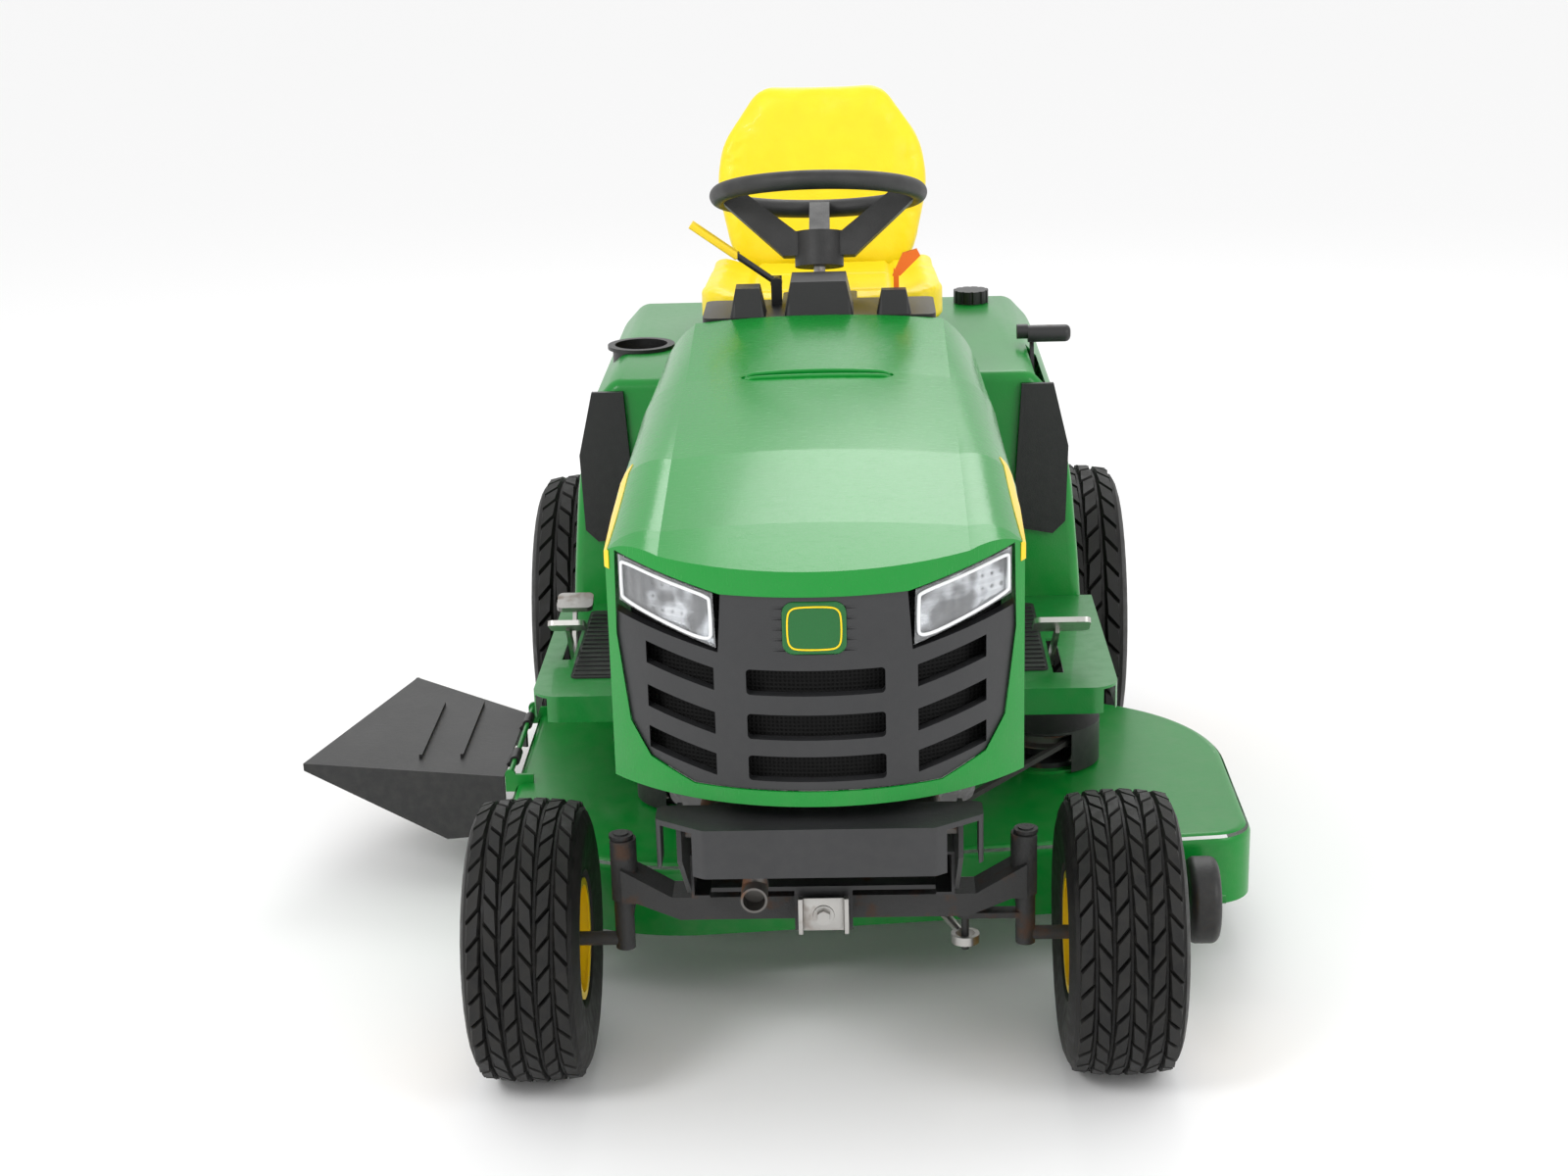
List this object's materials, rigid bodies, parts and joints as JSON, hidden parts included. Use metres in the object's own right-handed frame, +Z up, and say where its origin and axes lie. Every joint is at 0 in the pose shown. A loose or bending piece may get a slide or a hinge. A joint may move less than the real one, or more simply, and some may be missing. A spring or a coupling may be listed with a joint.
{
  "type": "riding lawn mower",
  "caption": "Ride-on lawn tractor with a tilting hood, steered front axle, lifting side-discharge deck with hinged chute, and a sliding seat.",
  "frame": {"origin": "on the ground under the middle of the overall plan, chute included", "axes": "-Y is the way it drives, +X is the driver's left, +Z is up"},
  "size_m": [1.449, 1.78, 1.1675],
  "materials": {
    "green_paint": "gloss green enamel",
    "green_hood": "moulded gloss green",
    "yellow_rim": "gloss yellow enamel",
    "yellow_vinyl": "grained yellow vinyl",
    "yellow_plastic": "satin yellow",
    "orange_plastic": "satin orange",
    "tyre_rubber": "black rubber",
    "belt_rubber": "black rubber",
    "black_frame": "black enamel",
    "cast_black": "black cast iron",
    "zinc_steel": "zinc plated",
    "engine_alloy": "cast",
    "black_plastic": "textured black",
    "tank_plastic": "natural",
    "muffler_steel": "heat dulled",
    "badge_enamel": "gloss green, blank",
    "lamp_reflector": "bright reflector",
    "lamp_lens": "clear"
  },
  "bodies": {
    "chassis": {"frame_rails": "black_frame", "axle_carrier": "black_frame", "hitch_plate": "black_frame", "front_bumper": "black_plastic", "engine_block": "engine_alloy", "blower_shroud": "black_plastic", "muffler": "muffler_steel", "fuel_tank": "tank_plastic", "battery": "black_plastic", "transaxle": "cast_black", "fender_pan": "green_paint", "footrest_left": "green_paint", "footrest_right": "green_paint", "trim_panels": "black_plastic", "dash_panel": "black_plastic", "steering_column": "black_frame", "drive_belt": "belt_rubber"},
    "axle": {"front_axle": "cast_black"},
    "knuckle_l": {"knuckle_left": "cast_black"},
    "knuckle_r": {"knuckle_right": "cast_black"},
    "tie": {"tie_rod": "zinc_steel"},
    "front_wheel_l": {"front_tyre_left": "tyre_rubber", "front_rim_left": "yellow_rim"},
    "front_wheel_r": {"front_tyre_right": "tyre_rubber", "front_rim_right": "yellow_rim"},
    "rear_wheel_l": {"rear_tyre_left": "tyre_rubber", "rear_rim_left": "yellow_rim"},
    "rear_wheel_r": {"rear_tyre_right": "tyre_rubber", "rear_rim_right": "yellow_rim"},
    "steering": {"steering_wheel": "black_plastic", "steering_shaft": "zinc_steel"},
    "sector": {"steering_sector": "zinc_steel"},
    "drag": {"drag_link": "zinc_steel"},
    "hood": {"hood_shell": "green_hood", "grille": "black_plastic", "badge_plate": "badge_enamel", "headlight_lenses": "lamp_lens", "headlight_housings": "lamp_reflector"},
    "slider": {"seat_slider": "black_frame"},
    "seat": {"seat_pan": "black_frame", "seat_cushion": "yellow_vinyl", "seat_back": "yellow_vinyl"},
    "lift": {"lift_lever": "zinc_steel"},
    "deck": {"deck_shell": "green_paint", "spindle_housings": "black_frame", "belt_covers": "black_plastic", "deck_belt": "belt_rubber"},
    "blade_l": {"blade_left": "black_frame"},
    "blade_r": {"blade_right": "black_frame"},
    "chute": {"discharge_chute": "black_plastic"},
    "gauge_l": {"gauge_wheel_left": "black_plastic"},
    "gauge_r": {"gauge_wheel_right": "black_plastic"},
    "brake": {"brake_pedal": "zinc_steel"},
    "drive": {"drive_pedals": "zinc_steel"},
    "blade_handle": {"blade_lever": "yellow_plastic"},
    "throttle": {"throttle_lever": "orange_plastic"},
    "cap": {"fuel_cap": "black_plastic"},
    "crank": {"crank_pulley": "zinc_steel"},
    "pto": {"blade_drive_pulley": "zinc_steel"},
    "input": {"transaxle_pulley": "zinc_steel"}
  },
  "joints": [
    {"name": "front_axle_rock", "type": "hinge", "parent": "chassis", "child": "axle", "pos_m": [0.1055, -0.615, 0.25], "axis": [0, 1, 0], "range_deg": [-5, 5]},
    {"name": "steering_wheel_turn", "type": "hinge", "parent": "chassis", "child": "steering", "pos_m": [0.1055, 0.283, 1.043], "axis": [0, 0.284, 0.9588], "range_deg": [-200, 200]},
    {"name": "knuckle_left_turn", "type": "hinge", "parent": "axle", "child": "knuckle_l", "pos_m": [0.3725, -0.615, 0.25], "axis": [0, 0, 1], "range_deg": [-25, 25]},
    {"name": "knuckle_right_turn", "type": "hinge", "parent": "axle", "child": "knuckle_r", "pos_m": [-0.1615, -0.615, 0.25], "axis": [0, 0, 1], "range_deg": [-25, 25]},
    {"name": "tie_rod_swing", "type": "hinge", "parent": "knuckle_l", "child": "tie", "pos_m": [0.3725, -0.535, 0.225], "axis": [0, 0, 1], "range_deg": [-25, 25]},
    {"name": "sector_turn", "type": "hinge", "parent": "chassis", "child": "sector", "pos_m": [0.1055, -0.03234, 0.262], "axis": [0, 0, 1], "range_deg": [-25, 25]},
    {"name": "drag_link_swing", "type": "hinge", "parent": "sector", "child": "drag", "pos_m": [0.0255, -0.03234, 0.273], "axis": [0, 0, 1], "range_deg": [-25, 25]},
    {"name": "front_left_roll", "type": "hinge", "parent": "knuckle_l", "child": "front_wheel_l", "pos_m": [0.4955, -0.615, 0.1905], "axis": [1, 0, 0], "continuous": true},
    {"name": "front_right_roll", "type": "hinge", "parent": "knuckle_r", "child": "front_wheel_r", "pos_m": [-0.2845, -0.615, 0.1905], "axis": [1, 0, 0], "continuous": true},
    {"name": "rear_left_roll", "type": "hinge", "parent": "chassis", "child": "rear_wheel_l", "pos_m": [0.5125, 0.628, 0.254], "axis": [1, 0, 0], "continuous": true},
    {"name": "rear_right_roll", "type": "hinge", "parent": "chassis", "child": "rear_wheel_r", "pos_m": [-0.3015, 0.628, 0.254], "axis": [1, 0, 0], "continuous": true},
    {"name": "hood_tip", "type": "hinge", "parent": "chassis", "child": "hood", "pos_m": [0.1055, -0.856, 0.488], "axis": [1, 0, 0], "range_deg": [0, 60]},
    {"name": "seat_slide", "type": "slide", "parent": "chassis", "child": "slider", "axis": [0, 1, 0], "range_m": [-0.05, 0.05]},
    {"name": "seat_tip", "type": "hinge", "parent": "slider", "child": "seat", "pos_m": [0.1055, 0.416, 0.8], "axis": [1, 0, 0], "range_deg": [0, 50]},
    {"name": "lift_lever_swing", "type": "hinge", "parent": "chassis", "child": "lift", "pos_m": [0.1055, 0.278, 0.318], "axis": [1, 0, 0], "range_deg": [0, 23.4]},
    {"name": "deck_lower", "type": "slide", "parent": "chassis", "child": "deck", "axis": [0, 0, -1], "range_m": [0, 0.065], "deforming": ["deck_belt"]},
    {"name": "blade_left_spin", "type": "hinge", "parent": "deck", "child": "blade_l", "pos_m": [0.4425, 0.0145, 0.247], "axis": [0, 0, 1], "continuous": true},
    {"name": "blade_right_spin", "type": "hinge", "parent": "deck", "child": "blade_r", "pos_m": [-0.0975, -0.1155, 0.247], "axis": [0, 0, 1], "continuous": true},
    {"name": "blade_drive_spin", "type": "hinge", "parent": "chassis", "child": "pto", "pos_m": [0.1055, -0.465, 0.247], "axis": [0, 0, 1], "continuous": true},
    {"name": "crankshaft_spin", "type": "hinge", "parent": "chassis", "child": "crank", "pos_m": [0.1055, -0.465, 0.3], "axis": [0, 0, 1], "continuous": true},
    {"name": "transaxle_input_spin", "type": "hinge", "parent": "chassis", "child": "input", "pos_m": [0.1055, 0.538, 0.3], "axis": [0, 0, 1], "continuous": true},
    {"name": "chute_lift", "type": "hinge", "parent": "deck", "child": "chute", "pos_m": [-0.3855, 0.098, 0.214], "axis": [0, 1, 0], "range_deg": [0, 80]},
    {"name": "gauge_left_roll", "type": "hinge", "parent": "deck", "child": "gauge_l", "pos_m": [0.6375, -0.3905, 0.134], "axis": [1, 0, 0], "continuous": true},
    {"name": "gauge_right_roll", "type": "hinge", "parent": "deck", "child": "gauge_r", "pos_m": [-0.3495, -0.3455, 0.134], "axis": [1, 0, 0], "continuous": true},
    {"name": "brake_press", "type": "hinge", "parent": "chassis", "child": "brake", "pos_m": [0.3555, -0.012, 0.372], "axis": [1, 0, 0], "range_deg": [0, 15], "stiffness_Nm_per_rad": 12, "springref_deg": -6.88},
    {"name": "drive_pedal_rock", "type": "hinge", "parent": "chassis", "child": "drive", "pos_m": [-0.1445, 0.028, 0.372], "axis": [1, 0, 0], "range_deg": [-10, 10], "stiffness_Nm_per_rad": 25},
    {"name": "blade_lever_swing", "type": "hinge", "parent": "chassis", "child": "blade_handle", "pos_m": [0.0395, 0.188, 0.924], "axis": [0, 1, 0], "range_deg": [-20, 0]},
    {"name": "throttle_swing", "type": "hinge", "parent": "chassis", "child": "throttle", "pos_m": [0.2235, 0.158, 0.872], "axis": [1, 0, 0], "range_deg": [-22, 22]},
    {"name": "fuel_cap_turn", "type": "hinge", "parent": "chassis", "child": "cap", "pos_m": [0.3675, 0.818, 0.78], "axis": [0, 0, 1], "range_deg": [0, 120]}
  ],
  "couplings": [
    {"joint": "knuckle_left_turn", "follows": "steering_wheel_turn", "ratio": 0.125},
    {"joint": "knuckle_right_turn", "follows": "steering_wheel_turn", "ratio": 0.125},
    {"joint": "tie_rod_swing", "follows": "steering_wheel_turn", "ratio": -0.125},
    {"joint": "sector_turn", "follows": "steering_wheel_turn", "ratio": 0.125},
    {"joint": "drag_link_swing", "follows": "steering_wheel_turn", "ratio": -0.125},
    {"joint": "deck_lower", "follows": "lift_lever_swing", "m_per_rad": 0.1589},
    {"joint": "blade_right_spin", "follows": "blade_left_spin", "ratio": 1},
    {"joint": "blade_drive_spin", "follows": "blade_left_spin", "ratio": 1.0382},
    {"joint": "transaxle_input_spin", "follows": "crankshaft_spin", "ratio": 0.7271}
  ]
}
